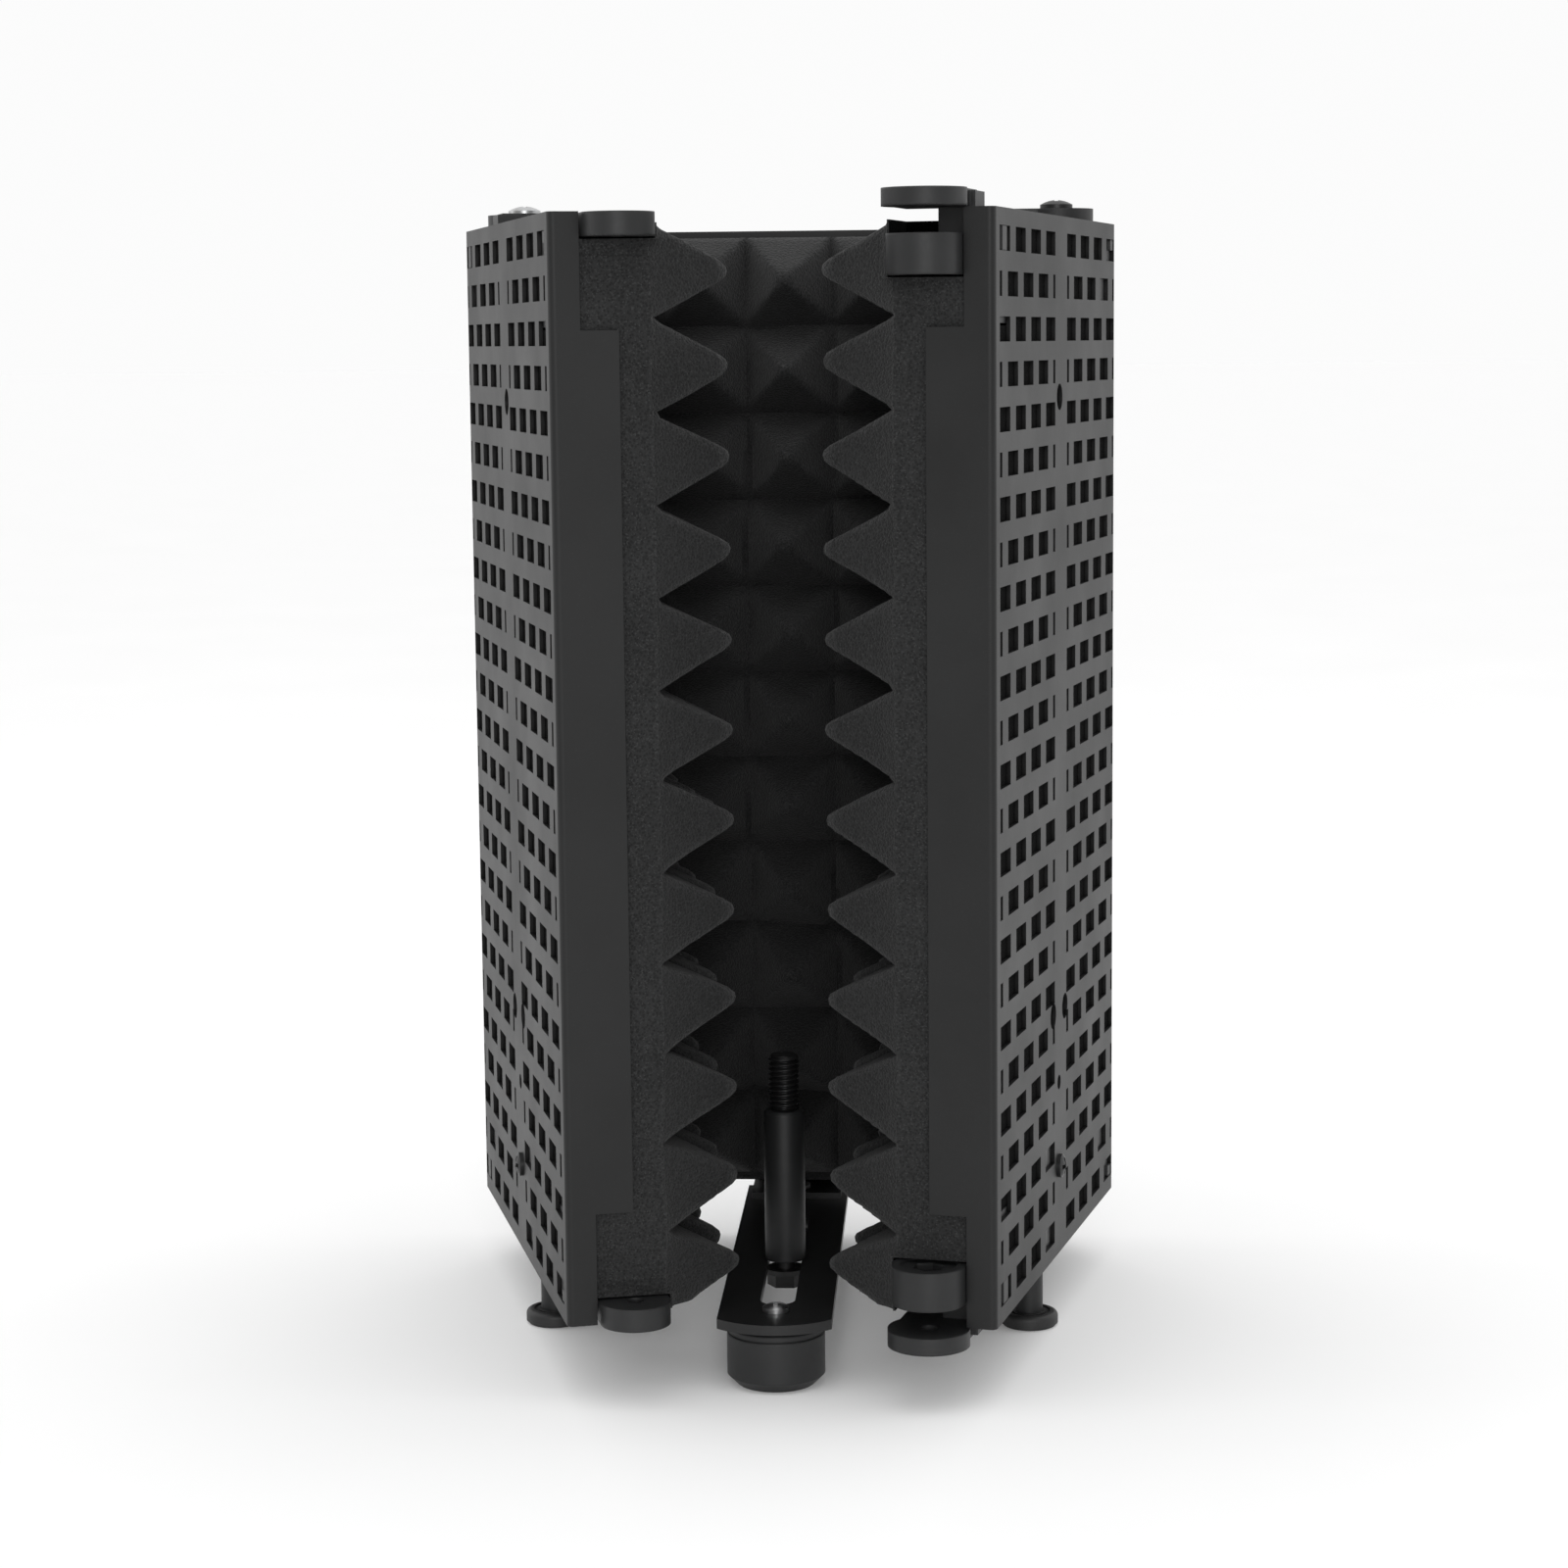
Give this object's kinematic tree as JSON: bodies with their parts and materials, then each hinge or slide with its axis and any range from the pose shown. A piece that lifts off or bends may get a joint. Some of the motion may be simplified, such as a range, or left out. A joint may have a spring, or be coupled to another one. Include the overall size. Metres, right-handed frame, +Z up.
{
  "type": "microphone isolation shield",
  "caption": "Folding three-panel acoustic shield with perforated metal backs, pyramid foam, a slotted mounting bar, a stand adapter and a microphone post.",
  "frame": {"origin": "mouth of the stand adapter's thread, in the plane that the adapter and the three rubber feet stand on", "axes": "+Z up, the foam of the centre panel faces -Y towards the performer, +X to the right seen from the performer's side; both wings are folded in at rest"},
  "size_m": [0.2113, 0.2034, 0.3518],
  "materials": {
    "perforated_steel": "satin black powder coat",
    "foam": "open-cell acoustic foam, charcoal",
    "lug_plastic": "satin moulded",
    "bracket_steel": "satin black",
    "rubber": "matt",
    "zinc_steel": "bright zinc plated",
    "black_steel": "black oxide"
  },
  "bodies": {
    "centre_panel": {"centre_shell": "perforated_steel", "centre_foam": "foam", "centre_top_tongue": "lug_plastic", "centre_bottom_tongue": "lug_plastic", "centre_top_fork": "lug_plastic", "centre_bottom_fork": "lug_plastic", "right_hinge_screws": "black_steel", "right_hinge_nuts": "zinc_steel", "mount_bracket": "bracket_steel", "centre_bracket_screw": "black_steel", "centre_foot_leg": "lug_plastic", "centre_foot_pad": "rubber", "slotted_bar": "bracket_steel", "bar_screw": "zinc_steel", "bar_nut": "zinc_steel", "adapter_collar": "lug_plastic", "stand_adapter": "lug_plastic", "adapter_screw": "zinc_steel"},
    "left_wing": {"left_shell": "perforated_steel", "left_foam": "foam", "left_top_tongue": "lug_plastic", "left_bottom_tongue": "lug_plastic", "left_top_fork": "lug_plastic", "left_bottom_fork": "lug_plastic", "left_hinge_screws": "zinc_steel", "left_hinge_nuts": "zinc_steel", "left_foot_bracket": "bracket_steel", "left_bracket_screw": "black_steel", "left_foot_leg": "lug_plastic", "left_foot_pad": "rubber"},
    "right_wing": {"right_shell": "perforated_steel", "right_foam": "foam", "right_top_tongue": "lug_plastic", "right_bottom_tongue": "lug_plastic", "right_top_fork": "lug_plastic", "right_bottom_fork": "lug_plastic", "right_foot_bracket": "bracket_steel", "right_bracket_screw": "black_steel", "right_foot_leg": "lug_plastic", "right_foot_pad": "rubber"},
    "mic_post_group": {"mic_post": "lug_plastic", "mic_stud": "black_steel", "post_washer": "black_steel", "post_bolt": "black_steel"}
  },
  "joints": [
    {"name": "left_wing_hinge", "type": "hinge", "parent": "centre_panel", "child": "left_wing", "pos_m": [-0.08725, 0.147, 0.1835], "axis": [0, 0, -1], "range_deg": [0, 105.8]},
    {"name": "right_wing_hinge", "type": "hinge", "parent": "centre_panel", "child": "right_wing", "pos_m": [0.08725, 0.147, 0.1835], "axis": [0, 0, 1], "range_deg": [0, 103.8]},
    {"name": "mic_post_slide", "type": "slide", "parent": "centre_panel", "child": "mic_post_group", "axis": [0, 1, 0], "range_m": [-0.037, 0.042]}
  ]
}
